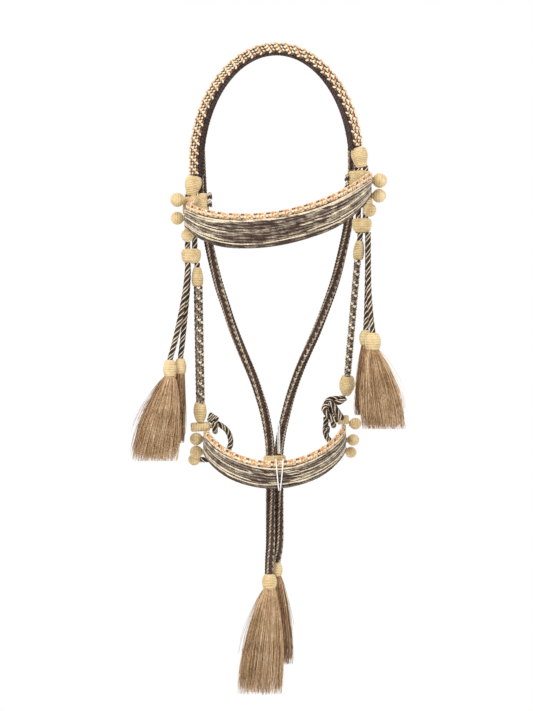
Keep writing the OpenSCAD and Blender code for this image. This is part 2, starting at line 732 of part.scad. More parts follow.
function rope_end(route) = route[len(route) - 1] - [0, 0, touch];
module throat_knots() {
    tassel_knot(rope_end(left_rope_route), 10.5, 21);
    tassel_knot(rope_end(right_rope_route), 9.2, 20.5);
}
module throat_hair() {
    hair(rope_end(left_rope_route) - [0, 0, 21 + touch], 8, 141, [-13, -7], [30, 15]);
    hair(rope_end(right_rope_route) - [0, 0, 20.5 + touch], 6.5, 122, [4, 10], [20, 12]);
}

module keeper_oval(r, h) {
    a = [left_rope_x, left_rope_y, 0];
    b = [right_rope_x, right_rope_y, 0];
    span = norm(b - a);
    translate(a) cylinder(r = r, h = h);
    translate(b) cylinder(r = r, h = h);
    translate((a + b) / 2)
        rotate([0, 0, atan2(b[1] - a[1], b[0] - a[0])])
            translate([-span / 2, -r, 0]) cube([span, 2 * r, h]);
}
module throat_keeper() {
    bottom = -606;
    color("wheat")
        translate([0, 0, bottom])
            difference() {
                keeper_oval(rope_r + slide_gap + throat_keeper_wall, throat_keeper_h);
                translate([0, 0, -1]) keeper_oval(rope_r + slide_gap, throat_keeper_h + 2);
            }
}

crown_braid();
crown_lining();
left_crown_knot();
right_crown_knot();
left_hanger_cords();
right_hanger_cords();
left_fork_keeper();
right_fork_keeper();
browband();
browband_piping();
left_browband_wrap();
right_browband_wrap();
left_browband_collar();
right_browband_collar();
left_collar_knots();
right_collar_knots();
left_browband_balls();
right_browband_balls();
left_cheek_link();
left_cheek_top_knot();
left_cheek_band();
left_cheek_piping();
left_cheek_bottom_knot();
left_tie_knot();
left_tie_cord();
left_tie_ball();
right_cheek_link();
right_cheek_top_knot();
right_cheek_band();
right_cheek_piping();
right_cheek_bottom_knot();
right_tie_strands();
right_tie_knot();
right_tie_cord();
right_tie_ball();
noseband();
noseband_piping();
left_noseband_wrap();
right_noseband_wrap();
left_noseband_bar();
right_noseband_bar();
left_noseband_balls();
right_noseband_balls();
noseband_thread();
left_front_tassel_cord();
left_back_tassel_cord();
left_tassel_knots();
left_tassel_hair();
right_front_tassel_cord();
right_back_tassel_cord();
right_tassel_knots();
right_tassel_hair();
left_throat_rope();
right_throat_rope();
rope_thread();
throat_knots();
throat_hair();
throat_keeper();
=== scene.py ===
"""Looks of the braided headstall: every cord, braid, knot and tassel as its own mesh.
Sizes are in millimetres here and turned into metres when a mesh is made."""
import math
import random

import bpy
import numpy as np
from mathutils import Matrix, Vector


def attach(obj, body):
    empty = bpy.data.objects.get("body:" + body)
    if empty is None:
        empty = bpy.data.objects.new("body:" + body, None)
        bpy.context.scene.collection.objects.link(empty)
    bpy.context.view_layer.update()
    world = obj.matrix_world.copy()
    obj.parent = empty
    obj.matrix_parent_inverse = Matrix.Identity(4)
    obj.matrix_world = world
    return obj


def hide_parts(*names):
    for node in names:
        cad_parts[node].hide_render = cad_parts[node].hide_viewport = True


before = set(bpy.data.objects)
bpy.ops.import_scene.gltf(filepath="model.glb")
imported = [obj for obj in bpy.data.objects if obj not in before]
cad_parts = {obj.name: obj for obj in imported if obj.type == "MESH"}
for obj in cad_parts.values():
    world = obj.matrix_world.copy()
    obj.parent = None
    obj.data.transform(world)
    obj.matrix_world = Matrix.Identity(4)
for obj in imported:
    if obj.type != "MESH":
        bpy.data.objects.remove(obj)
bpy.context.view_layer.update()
MM = 0.001

# ---- Camera ----

camera_data = bpy.data.cameras.new("camera")
camera_data.sensor_fit = "VERTICAL"
camera_data.sensor_height = 24
camera_data.lens = 60.28
camera = bpy.data.objects.new("camera", camera_data)
camera.location = (-0.014, -2.5, -0.421)
camera.rotation_euler = (math.radians(90), 0, 0)
bpy.context.collection.objects.link(camera)
bpy.context.scene.camera = camera

# ---- Materials ----


def linear(hex_colour):
    """An sRGB colour such as "c8a070" as linear RGBA."""
    parts = [int(hex_colour[i:i + 2], 16) / 255 for i in (0, 2, 4)]
    return [p / 12.92 if p < 0.04045 else ((p + 0.055) / 1.055) ** 2.4 for p in parts] + [1]


def yarn(name, dark, mid, light, scale=900, contrast=1.0, roughness=0.85, sheen=0.25, bump=0.35):
    """A spun fibre: fine streaks, slow patches of other tone, and a fuzzy sheen."""
    material = bpy.data.materials.new(name)
    material.use_nodes = True
    nodes, links = material.node_tree.nodes, material.node_tree.links
    shader = nodes["Principled BSDF"]
    shader.inputs["Roughness"].default_value = roughness
    shader.inputs["Sheen Weight"].default_value = sheen
    shader.inputs["Sheen Roughness"].default_value = 0.5
    shader.inputs["Specular IOR Level"].default_value = 0.3
    place = nodes.new("ShaderNodeTexCoord")
    fibres = nodes.new("ShaderNodeTexNoise")
    fibres.inputs["Scale"].default_value = scale
    fibres.inputs["Detail"].default_value = 3
    fibres.inputs["Roughness"].default_value = 0.6
    patches = nodes.new("ShaderNodeTexNoise")
    patches.inputs["Scale"].default_value = scale / 7
    patches.inputs["Detail"].default_value = 2
    blend = nodes.new("ShaderNodeMix")
    blend.data_type = "FLOAT"
    blend.inputs["Factor"].default_value = 0.45
    ramp = nodes.new("ShaderNodeValToRGB")
    ramp.color_ramp.elements[0].position = 0.5 - 0.17 / contrast
    ramp.color_ramp.elements[0].color = linear(dark)
    ramp.color_ramp.elements[1].position = 0.5 + 0.17 / contrast
    ramp.color_ramp.elements[1].color = linear(light)
    ramp.color_ramp.elements.new(0.5).color = linear(mid)
    relief = nodes.new("ShaderNodeBump")
    relief.inputs["Strength"].default_value = bump
    relief.inputs["Distance"].default_value = 0.0006
    for texture in (fibres, patches):
        links.new(place.outputs["Object"], texture.inputs["Vector"])
    links.new(fibres.outputs["Fac"], blend.inputs["A"])
    links.new(patches.outputs["Fac"], blend.inputs["B"])
    links.new(blend.outputs["Result"], ramp.inputs["Fac"])
    links.new(ramp.outputs["Color"], shader.inputs["Base Color"])
    links.new(fibres.outputs["Fac"], relief.inputs["Height"])
    links.new(relief.outputs["Normal"], shader.inputs["Normal"])
    return material


CREAM = yarn("cream_yarn", "b9a583", "e2d3b4", "f5ead2")
TAN = yarn("crochet_yarn", "bd9c68", "dcc393", "efdcb4", scale=700)
# Darker crochet yarn for the valleys between stitches: painted shade.
TAN_SHADE = yarn("crochet_valley_shade", "7d5f36", "a5854f", "c4a46e", scale=700)
ORANGE = yarn("orange_yarn", "a9683a", "d29a62", "e9bd8a")
RUST = yarn("rust_yarn", "4c2a1a", "7c4930", "a3694a")
GREIGE = yarn("greige_yarn", "6d5e4c", "9c8c76", "c2b59d", contrast=1.6)
GREY = yarn("grey_yarn", "4b4036", "75675a", "9a8c7b", contrast=1.6)
BROWN = yarn("brown_yarn", "2a1a14", "432d24", "664c3e")
BLACK = yarn("dark_yarn", "1c110d", "30201a", "4a342a", sheen=0.15)
FLECK = yarn("fleck_yarn", "9f8768", "c4ad8d", "dfccae")
WHITE = yarn("white_thread", "d8d6d0", "f2f1ee", "ffffff", sheen=0.1)
HAIR = [
    yarn("hair_light", "b8966c", "dcbc94", "f2dcba", scale=260, roughness=0.5, sheen=0.1, bump=0.1),
    yarn("hair_mid", "a17d56", "c9a57c", "e4c6a0", scale=260, roughness=0.5, sheen=0.1, bump=0.1),
    yarn("hair_dark", "7a5838", "a17a54", "c29c73", scale=260, roughness=0.5, sheen=0.1, bump=0.1),
    yarn("hair_deep", "523a27", "77573b", "987653", scale=260, roughness=0.5, sheen=0.1, bump=0.1),
]

# ---- Mesh tools ----


class Shape:
    """Collects vertices, faces and one material per face, and becomes one mesh object."""

    def __init__(self):
        self.points, self.faces, self.tones, self.count = [], [], [], 0

    def add(self, points, faces, tone):
        self.points.append(points)
        self.faces.append(faces + self.count)
        self.tones.append(np.full(len(faces), tone) if np.isscalar(tone) else np.asarray(tone))
        self.count += len(points)

    def grid(self, rings, tone):
        """A closed tube through rings of equal length, shape (rings, sides, 3), with pointed ends."""
        m, n = rings.shape[:2]
        j, k = np.arange(n), (np.arange(n) + 1) % n
        base = (np.arange(m - 1) * n)[:, None]
        quads = np.stack([base + j, base + k, base + k + n, base + j + n], -1).reshape(-1, 4)
        last = (m - 1) * n
        first_tip, last_tip = np.full(n, m * n), np.full(n, m * n + 1)
        ends = [np.stack([k, j, first_tip, first_tip], -1),
                np.stack([j + last, k + last, last_tip, last_tip], -1)]
        points = np.concatenate([rings.reshape(-1, 3), rings[:1].mean(1), rings[-1:].mean(1)])
        if not np.isscalar(tone):
            tone = np.concatenate([np.repeat(tone[:m - 1], n), np.full(2 * n, tone[0])])
        self.add(points, np.concatenate([quads] + ends), tone)

    def strand(self, path, radius, tone, sides=6, across=None, ratio=1.0):
        """A strand along a path. across gives each ring its wide direction, and ratio scales it."""
        _, u, v = frames(path) if across is None else across_frames(path, across)
        angle = np.arange(sides) * 2 * math.pi / sides
        radius = np.broadcast_to(radius, len(path))[:, None, None]
        ring = np.cos(angle)[None, :, None] * u[:, None] * ratio + np.sin(angle)[None, :, None] * v[:, None]
        self.grid(path[:, None] + radius * ring, tone)

    def stitch(self, centre, long, side, up, tone):
        """One stitch: a small oval bead with three half axes."""
        self.add(centre + BEAD[:, :1] * long + BEAD[:, 1:2] * side + BEAD[:, 2:] * up, BEAD_FACES, tone)

    def finish(self, name, body, materials, nodes=(), slot=None):
        mesh = bpy.data.meshes.new(name)
        points = np.concatenate(self.points) * MM
        faces = [f[:3] if f[2] == f[3] else f for f in np.concatenate(self.faces).tolist()]
        mesh.from_pydata(points.tolist(), [], faces)
        for material in materials:
            mesh.materials.append(material)
        mesh.polygons.foreach_set("material_index", np.concatenate(self.tones).astype(np.int32))
        mesh.polygons.foreach_set("use_smooth", [True] * len(mesh.polygons))
        mesh.update()
        piece = bpy.data.objects.new(name, mesh)
        bpy.context.collection.objects.link(piece)
        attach(piece, body)
        if nodes:
            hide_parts(*nodes)
        return piece


def unit_rows(a):
    return a / np.linalg.norm(a, axis=-1, keepdims=True)


def make_bead(rings=5, sides=8):
    """Points and faces of a unit ball whose poles lie along its first axis."""
    lat = (np.arange(1, rings + 1)) * math.pi / (rings + 1)
    lon = np.arange(sides) * 2 * math.pi / sides
    body = np.stack([np.repeat(np.cos(lat), sides),
                     (np.sin(lat)[:, None] * np.cos(lon)).ravel(),
                     (np.sin(lat)[:, None] * np.sin(lon)).ravel()], -1)
    points = np.concatenate([body, [[1, 0, 0], [-1, 0, 0]]])
    j, k = np.arange(sides), (np.arange(sides) + 1) % sides
    base = (np.arange(rings - 1) * sides)[:, None]
    quads = np.stack([base + k, base + j, base + j + sides, base + k + sides], -1).reshape(-1, 4)
    top = np.full(sides, rings * sides)
    last = (rings - 1) * sides
    ends = [np.stack([j, k, top, top], -1), np.stack([k + last, j + last, top + 1, top + 1], -1)]
    return points, np.concatenate([quads] + ends)


BEAD, BEAD_FACES = make_bead()


def frames(path):
    """Tangent and two steady normals at each point of a path."""
    t = unit_rows(np.gradient(path, axis=0))
    u = np.empty_like(t)
    first = np.cross(t[0], [0.31, 0.87, 0.38])
    u[0] = first / np.linalg.norm(first)
    for i in range(1, len(t)):
        step = u[i - 1] - t[i] * (u[i - 1] @ t[i])
        u[i] = step / np.linalg.norm(step)
    return t, u, np.cross(t, u)


def across_frames(path, across):
    t = unit_rows(np.gradient(path, axis=0))
    u = unit_rows(across - t * (across * t).sum(-1, keepdims=True))
    return t, u, np.cross(t, u)


def smooth(points, step):
    """A smooth curve through points, resampled at about step millimetres."""
    p = np.array(points, float)
    ends = np.concatenate([[2 * p[0] - p[1]], p, [2 * p[-1] - p[-2]]])
    parts = []
    for i in range(1, len(ends) - 2):
        a, b, c, d = ends[i - 1:i + 3]
        t = np.linspace(0, 1, 24, endpoint=False)[:, None]
        parts.append(0.5 * (2 * b + (c - a) * t + (2 * a - 5 * b + 4 * c - d) * t ** 2
                            + (3 * b - a - 3 * c + d) * t ** 3))
    curve = np.concatenate(parts + [p[-1:]])
    far = np.concatenate([[0], np.cumsum(np.linalg.norm(np.diff(curve, axis=0), axis=1))])
    s = np.linspace(0, far[-1], max(int(round(far[-1] / step)), 4) + 1)
    return np.stack([np.interp(s, far, curve[:, k]) for k in range(3)], -1)


def distances(path):
    return np.concatenate([[0], np.cumsum(np.linalg.norm(np.diff(path, axis=0), axis=1))])


def twist(shape, path, radius, tones, pitch=20.0, turn=0.0, sides=6, across=None):
    """A laid cord: strands wound round a path, one per entry of tones. Tone 1 is a thinner strand
    in a cord of many."""
    n = len(tones)
    s = distances(path)
    _, u, v = frames(path) if across is None else across_frames(path, across)
    strand_r = radius * math.sin(math.pi / n) / (1 + math.sin(math.pi / n)) * 1.08
    offset = radius - strand_r * 0.95
    for i, tone in enumerate(tones):
        angle = (2 * math.pi * (s / pitch + i / n) + turn)[:, None]
        line = path + offset * (np.cos(angle) * u + np.sin(angle) * v)
        thin = tone == 1 and n >= 7
        shape.strand(line, strand_r * 0.7 if thin else strand_r, tone, sides)


def plait(shape, path, out, width, pitch, tones, thick=1.6, lean=1.3, start=0):
    """One herringbone row: pairs of slanted stitches along a path that faces out."""
    s = distances(path)
    t, side, _ = across_frames(path, np.cross(out, np.gradient(path, axis=0)))
    count = max(int(s[-1] / pitch), 1)
    steep = math.hypot(1, lean)
    for i in range(count):
        at = (i + 0.5) / count * s[-1]
        here = [np.array([np.interp(at, s, a[:, k]) for k in range(3)]) for a in (path, t, side, out)]
        centre, along, across, up = here
        up = up / np.linalg.norm(up)
        for hand in (-1, 1):
            long = along * lean + across * hand
            long = long / np.linalg.norm(long)
            wide = np.cross(up, long)
            tone = tones[(i * 2 + (hand > 0) + start) % len(tones)]
            spot = centre + across * hand * width * 0.24 + up * thick * 0.35
            shape.stitch(spot, long * width * 0.3 * steep, wide * pitch * 0.56 / steep, up * thick, tone)


def knit(shape, origin, rotation, profile, wider=0.0, span=0.0, row=2.4, relief=0.62):
    """A crocheted solid of revolution about -Z of rotation.
    profile is (depth, radius) pairs from top to bottom.
    wider adds to the radius along Y, and span draws it out along X into a rounded oblong."""
    p = np.array(profile, float)
    far = distances(p)
    rows = max(int(round(far[-1] / row)), 3)
    m = rows * 5 + 1
    at = np.linspace(0, far[-1], m)
    depth, radius = np.interp(at, far, p[:, 0]), np.interp(at, far, p[:, 1])
    around = 2 * math.pi * (radius.max() + span * 0.64 + wider / 2)
    stitches = max(int(round(around / 2.5)), 8)
    n = stitches * 4
    phi = np.arange(n) * 2 * math.pi / n
    y = at / far[-1] * rows
    band = np.floor(y - 1e-9)[:, None]
    lift = np.abs(np.sin(math.pi * y))[:, None] ** 0.7
    slip = band * math.pi / stitches + (y[:, None] - band) * 0.9 / stitches
    bulge = np.abs(np.cos(stitches / 2 * (phi[None] + slip)))
    bump = lift * (0.45 + 0.55 * bulge ** 0.8)
    fade = np.clip(radius / 2.5, 0, 1)[:, None]
    slope_r, slope_d = np.gradient(radius, at), np.gradient(depth, at)
    push = (bump - 0.6) * relief * fade
    r = radius[:, None] + push * slope_d[:, None]
    z = -(depth[:, None] - push * slope_r[:, None])
    edge = np.clip(r / max(radius.max(), 1e-6), 0, 1)
    c, s = np.cos(phi)[None], np.sin(phi)[None]
    x = r * c + span * edge ** 0.4 * np.sign(c) * np.abs(c) ** 0.55
    yy = r * s * (1 + wider / max(radius.max(), 1e-6)) * (np.abs(s) ** (-0.12 if span else 0)).clip(0, 1.25)
    rings = np.stack([x, yy, np.broadcast_to(z, x.shape)], -1) @ rotation.T + origin
    # Faces low in the valleys between stitches take tone 1, the darker crochet material: painted shade in the
    # crevices.
    valley_shade = bump[:-1, :] < 0.3
    base = (np.arange(m - 1) * n)[:, None]
    j, k = np.arange(n), (np.arange(n) + 1) % n
    quads = np.stack([base + k, base + j, base + j + n, base + k + n], -1).reshape(-1, 4)
    shape.add(rings.reshape(-1, 3), quads, np.where(valley_shade, 1, 0).ravel())


def hang_rotation(direction, turn=0.0):
    """The rotation that points -Z along a direction, turned about it in degrees."""
    d = direction / np.linalg.norm(direction)
    a, b = math.asin(d[1]), math.atan2(-d[0], -d[2])
    lean = Matrix.Rotation(b, 3, "Y") @ Matrix.Rotation(a, 3, "X")
    return np.array(lean @ Matrix.Rotation(math.radians(turn), 3, "Z"))


def vec(*numbers):
    return np.array(numbers, float)


# ---- The CAD's own points, in millimetres ----

CORD_R = 4.0
CROWN_HALF, CROWN_RISE, CROWN_MID = 112.0, 163.0, -154.5
CROWN_T, CROWN_D = 13.0, 22.0
LEFT_TOP, RIGHT_TOP = vec(-119.5, 0, -197.7), vec(119.5, 0, -158.0)
LEFT_FORK, RIGHT_FORK = vec(-119.5, 0, -291.7), vec(119.5, 0, -249.0)
LEFT_PIVOT, RIGHT_PIVOT = vec(-111, 0, -296.2), vec(117, 0, -253.5)
LEFT_HANG = unit_rows(vec(0.015, 0.123, -1))
RIGHT_HANG = unit_rows(vec(-0.083, 0.107, -1))
LEFT_BAR = LEFT_PIVOT + LEFT_HANG * 227.5
RIGHT_BAR = vec(94.5, LEFT_BAR[1], LEFT_BAR[2] + 10)
LEFT_LOOP, RIGHT_LOOP = LEFT_BAR + vec(20.5, 0, 0.8), RIGHT_BAR - vec(14, 0, 0.8)
BAR_AXIS = unit_rows(RIGHT_BAR - LEFT_BAR)


def crown_point(angle):
    return vec(CROWN_HALF * math.cos(angle), 0, CROWN_MID + CROWN_RISE * math.sin(angle))


def crown_frame(angle):
    """A point of the crown's middle line with its outward and front-to-back directions."""
    out = unit_rows(vec(CROWN_RISE * math.cos(angle), 0, CROWN_HALF * math.sin(angle)))
    roll = math.radians(22 * math.cos(angle) ** 2)
    back = vec(0, 1, 0)
    c, s = math.cos(roll), math.sin(roll)
    return crown_point(angle), c * out + s * back, c * back - s * out


# Free cords: their routes as the CAD has them, top first
LEFT_ROPE = [
    (-107, 20, -132), (-106, 20, -160), (-104, 20, -195), (-100, 20, -230), (-95, 20, -265),
    (-83, 20, -315), (-72, 19, -350), (-61, 18, -383), (-47, 17, -418), (-33, 16, -451),
    (-23, 16, -480), (-16, 15.5, -505), (-10.5, 15.5, -535), (-8.5, 15.5, -560),
    (-8.5, 15.5, -600), (-8.5, 15.5, -640), (-8.5, 15.5, -685), (-9.5, 12, -706), (-10, 10, -728),
]
RIGHT_ROPE = [
    (107, 20, -127.5), (107, 20, -132), (107, 20, -160), (105, 20.5, -195), (101, 21, -235), (93, 21, -275),
    (83, 21.5, -315), (71, 22, -350), (57, 22, -386), (44, 23, -415), (32, 23, -443),
    (21, 24, -475), (13, 24, -505), (6.5, 24.5, -535), (3.5, 24.5, -560),
    (3.5, 24.5, -600), (3.5, 24.5, -640), (3.5, 24.5, -685), (-0.5, 28, -713),
]
TASSEL_PITCH = 8.8
LEFT_TASSEL, RIGHT_TASSEL = vec(-124, 0, -296.2), vec(128, 0, -253.5)
TASSELS = {
    "left_front_tassel": (LEFT_TASSEL, -1, [
        (0, 0, 0), (-1, -0.5, -14), (-4, -1, -38), (-11, -2, -75), (-18, -2.5, -106), (-25, -3, -131)]),
    "left_back_tassel": (LEFT_TASSEL, 1, [
        (0, 0, 0), (0, 0.5, -14), (-1.5, 1, -38), (-5, 2, -75), (-8, 2.5, -106), (-11, 3, -129)]),
    "right_front_tassel": (RIGHT_TASSEL, -1, [
        (0, 0, 0), (0, -1, -14), (0, -3, -38), (0.5, -6, -75), (3, -8.5, -110), (6, -9.6, -136)]),
    "right_back_tassel": (RIGHT_TASSEL, 1, [
        (0, 0, 0), (0, 0, -14), (0, 0, -38), (-0.5, 0.5, -75), (-1.5, 0.6, -110), (-2.6, 0.6, -132)]),
}
LEFT_TIE = [
    (10, 6, 0), (18, 9, -8), (22, 12, -20), (20, 14, -32), (11, 15, -42), (0, 15, -46), (-11, 15, -48),
    (-21.5, 15, -48),
]
RIGHT_TIE = [(-10, 12, -6), (-11, 13, -15), (-8, 13, -25), (0, 13, -34), (8, 13, -39), (18, 13, -43)]

TWIST_TONES = [0, 1, 2, 0, 1, 2, 1, 0]  # three thin light strands among dark ones


# ---- Crochet and knots ----

CROCHET = [TAN, TAN_SHADE]


def ball_profile(r, neck):
    """Depth and radius along a ball whose neck leaves along its axis."""
    angles = np.linspace(0, math.pi - math.asin(0.45), 26)
    profile = [(-r * math.cos(a), r * math.sin(a)) for a in angles]
    return profile + [(neck, r * 0.45), (neck + 0.05, 0)]


def add_ball(shape, centre, r, direction, neck):
    knit(shape, centre, hang_rotation(unit_rows(vec(*direction))), ball_profile(r, neck))


def knot_profile(length, top, mid, bottom, level, waist=1.0):
    """The outline of a hanging knot, rounded at both ends."""
    profile = [(0.0, 0.0), (0.0, top * 0.86), (0.5, top * 0.97)]
    for i in range(1, 16):
        t = i / 16
        if t < level:
            r = top + (mid - top) * math.sin(math.pi / 2 * t / level)
        else:
            r = bottom + (mid - bottom) * math.cos(math.pi / 2 * (t - level) / (1 - level)) ** waist
        profile.append((length * t, r))
    return profile + [(length - 0.5, bottom * 0.97), (length, bottom * 0.86), (length, 0.0)]


def crochet_piece(name, body, nodes, build):
    shape = Shape()
    build(shape)
    return shape.finish(name, body, CROCHET, nodes, "crochet")


def crown_knot(leg, shift, top):
    start = leg + shift
    path = top - start
    return lambda s: knit(s, start, hang_rotation(unit_rows(path)),
                          knot_profile(np.linalg.norm(path), 9.6, 11.7, 7.6, 0.36, 2.1), row=2.5)


LEFT_LEG, RIGHT_LEG = crown_point(math.radians(185)), crown_point(math.radians(9))
crochet_piece("left_crown_gourd", "headstall", ["left_crown_knot"],
              crown_knot(LEFT_LEG, vec(-3.5, 0, -1.5), LEFT_TOP))
crochet_piece("right_crown_gourd", "headstall", ["right_crown_knot"],
              crown_knot(RIGHT_LEG, vec(3.5, 0, -1.5), RIGHT_TOP))

KEEPER = [
    (0, 0), (0, 5.4), (0.6, 6.4), (2.5, 8.2), (6, 8.9), (11, 8.7), (16, 7.6), (19.4, 5.4), (20, 4.4), (20, 0),
]
for side, fork in (("left", LEFT_FORK), ("right", RIGHT_FORK)):
    crochet_piece(side + "_fork_wrap", "headstall", [side + "_fork_keeper"],
                  lambda s: knit(s, fork + vec(0, 0, 20), np.eye(3), KEEPER, span=5))

LIP = [(0, 0), (0, 4.4), (1, 6.2), (2.4, 6.7), (7, 6.7), (7, 0)]
COLLAR = [(0, 0), (0, 5.6), (0.6, 6.5), (1.4, 6.8), (22.6, 6.8), (23.4, 6.5), (24, 5.6), (24, 0)]


def collar(top, side, reach, rise):
    """A wide wrap round both hanger cords that reaches inward to its loop of cord."""
    half = (10 + reach - 6.8) / 2
    middle = top + vec(-side * (half - 5), 0, 0)
    inner = top + vec(-side * (5 + reach - 6.8), 0, 0)

    def build(s):
        knit(s, middle, np.eye(3), COLLAR, span=half)
        if rise:
            knit(s, inner + vec(0, 0, rise), np.eye(3), LIP)
    return build


crochet_piece("left_collar", "headstall", ["left_browband_collar"],
              collar(LEFT_TOP - vec(0, 0, 1.5), -1, 18.5, 5))
crochet_piece("right_collar", "headstall", ["right_browband_collar"],
              collar(RIGHT_TOP - vec(0, 0, 5), 1, 13, 0))

# Throat keeper round both ropes
ROPE_A, ROPE_B = vec(-8.5, 15.5, 0), vec(3.5, 24.5, 0)
KEEPER_TURN = math.degrees(math.atan2(9, 12))
crochet_piece("throat_slide_keeper", "keeper", ["throat_keeper"], lambda s: knit(
    s, (ROPE_A + ROPE_B) / 2 + vec(0, 0, -562), np.array(Matrix.Rotation(math.radians(KEEPER_TURN), 3, "Z")),
    [(0, 0), (0, 8.4), (0.8, 9.6), (2, 10.1), (42, 10.1), (43.2, 9.6), (44, 8.4), (44, 0)], span=7.5))

# Cheek knots
CHEEKS = {
    "left": (LEFT_PIVOT, LEFT_HANG, 1.5, 22.0, 8.9),
    "right": (RIGHT_PIVOT, RIGHT_HANG, 7.0, -7.0, 11.0),
}
TOP_KNOT_L, CHEEK_L, BOTTOM_KNOT_L = 26.0, 165.0, 28.0
for side, (pivot, hang, link, turn, bottom_r) in CHEEKS.items():
    rotation = hang_rotation(hang, turn)
    crochet_piece(side + "_cheek_top_gourd", side + "_cheek", [side + "_cheek_top_knot"], lambda s: knit(
        s, pivot + hang * link, rotation, knot_profile(TOP_KNOT_L, 4.8, 7.75, 6.5, 0.65), wider=3))
    outline = knot_profile(BOTTOM_KNOT_L, bottom_r * 0.72, bottom_r, 5, 0.45)
    crochet_piece(side + "_cheek_bottom_gourd", side + "_cheek", [side + "_cheek_bottom_knot"],
                  lambda s: knit(s, pivot + hang * (link + TOP_KNOT_L + CHEEK_L), rotation, outline, wider=3))


# ---- Bands ----


class Band:
    """A curved band: its middle line, height and outward direction at an angle from 0 to 180 degrees."""

    def __init__(self, x, y, half_w, bulge, left_z, right_z, droop, power, lift, height, taper):
        self.x, self.y, self.half_w, self.bulge = x, y, half_w, bulge
        self.left_z, self.right_z, self.droop, self.power = left_z, right_z, droop, power
        self.lift, self.height, self.taper = lift, height, taper

    def point(self, a):
        c, s = np.cos(a), np.maximum(np.sin(a), 0)
        z = self.right_z + (self.left_z - self.right_z) * (1 - c) / 2 - self.droop * s ** self.power
        return np.stack([self.x + self.half_w * c, self.y - self.bulge * s, z + self.lift * c ** 6], -1)

    def out(self, a):
        return unit_rows(np.stack([self.bulge * np.cos(a), -self.half_w * np.sin(a), 0 * a], -1))

    def high(self, a):
        return self.height - self.taper * np.cos(a) ** 6


BROW_Y = -6.8 - 4.25
BROW = Band(2, BROW_Y, 127.5, 89, LEFT_TOP[2] - 45, RIGHT_TOP[2] - 42, 33, 2, 13, 39.5, 15)
NOSE_LEFT, NOSE_RIGHT = LEFT_BAR[0] + 7, RIGHT_BAR[0] + 1
NOSE = Band((NOSE_LEFT + NOSE_RIGHT) / 2, LEFT_BAR[1], (NOSE_RIGHT - NOSE_LEFT) / 2, 95,
            LEFT_BAR[2] - 6.5 - 15 - 1, RIGHT_BAR[2] - 6.5 - 15 - 7, 45.5, 1.5, 0, 30, 0)


def weave_band(name, node, band, body, rows, dark_middle, seed):
    """Flat rows of mottled yarn side by side on the front and back of a dark core."""
    draw = random.Random(seed)
    shape = Shape()
    a = np.linspace(0, math.pi, 241)
    middle, out, high = band.point(a), band.out(a), band.high(a)
    up = np.broadcast_to(vec(0, 0, 1), out.shape)
    for face in (1, -1):
        for j in range(rows):
            share = (j + 0.5) / rows - 0.5
            level = (share + 0.2 * np.sin(5 * a + j * 1.3) / rows) * (high - 1.2)
            half = high / rows * 0.5
            line = middle + out * face * 1.75 + up * level[:, None]
            pale, edge = j == rows - 1, j == 0
            backing = 0 if pale else (3 if edge else 2)
            shape.strand(line, half * 0.62, backing, 8, across=out * face, ratio=0.0)
            usual = draw.choice([1, 2])
            ridge = line + out * face * 0.35
            for k, offset in enumerate((-0.32, 0.3)):
                ply = ridge + up * (half * offset)[:, None]
                s = distances(ply)
                at, tone, left = draw.random() * 4, usual, 0
                while at < s[-1] - 5:
                    spot = [np.array([np.interp(at, s, q[:, c]) for c in range(3)]) for q in (ply, out)]
                    ahead = np.array([np.interp(at + 2, s, ply[:, c]) for c in range(3)]) - spot[0]
                    along, r = ahead / np.linalg.norm(ahead), np.interp(at, s, half)
                    tilted = along + vec(0, 0, 1) * draw.choice([0.1, 0.16])
                    tilted /= np.linalg.norm(tilted)
                    normal = spot[1] * face
                    if left <= 0:
                        left = draw.randint(1, 4)
                        if pale or (j == 1 and k == 1):
                            tone = draw.choice([0, 0, 0, 1])
                        elif edge:
                            tone = draw.choice([3, 3, 2])
                        elif abs(spot[0][0] + draw.uniform(-30, 30)) < dark_middle:
                            tone = draw.choice([usual, 2, 2, 3, 3])
                        elif j % 3 == 2 and k == 1:
                            tone = 0
                        else:
                            tone = draw.choice([usual, usual, 1, 2, 3] if k else [usual, 1, 1, 0, 2])
                    left -= 1
                    shape.stitch(spot[0] + normal * 0.25, tilted * 4.6, np.cross(normal, tilted) * r * 0.33,
                                 normal * 0.75, tone)
                    at += 4.4
    core = np.stack([middle + out * x + up * (high * y / 2)[:, None]
                     for x, y in ((1.9, -0.96), (1.9, 0.99), (-1.9, 0.99), (-1.9, -0.96))], 1)
    shape.grid(core, 3)
    return shape.finish(name, body, [CREAM, GREIGE, GREY, BROWN, BLACK], [node], "woven_band")


def weave_piping(name, node, band, body, first, last, lift=None):
    """Herringbone rows round the round edge on top of a band."""
    shape = Shape()
    a = np.linspace(math.radians(first), math.radians(last), 200)
    out = band.out(a)
    up = np.broadcast_to(vec(0, 0, 1), out.shape)
    centre = band.point(a) + up * (band.high(a) / 2 + 3.9)[:, None]
    if lift is not None:
        rise = np.clip((a - a[-1] + 0.36) / 0.36, 0, 1)[:, None]
        centre = centre + rise ** 2 * (lift - centre[-1])
    t, side, _ = across_frames(centre, out)
    top = np.cross(t, side)
    top *= np.sign(top[:, 2:3])
    for i, angle in enumerate((-35, 20, 90, 160, 215)):
        c, s = math.cos(math.radians(angle)), math.sin(math.radians(angle))
        normal = side * c + top * s
        plait(shape, centre + normal * 2.3, normal, 5.6, 4.3, [0, 1, 0, 2, 0, 0, 1, 1], thick=1.45, start=i)
    shape.strand(centre, 2.8, 1, 10)
    shape.strand(centre - top * 3.4, 1.9, 0, 8)
    return shape.finish(name, body, [CREAM, ORANGE, RUST, RUST], [node], "piping")


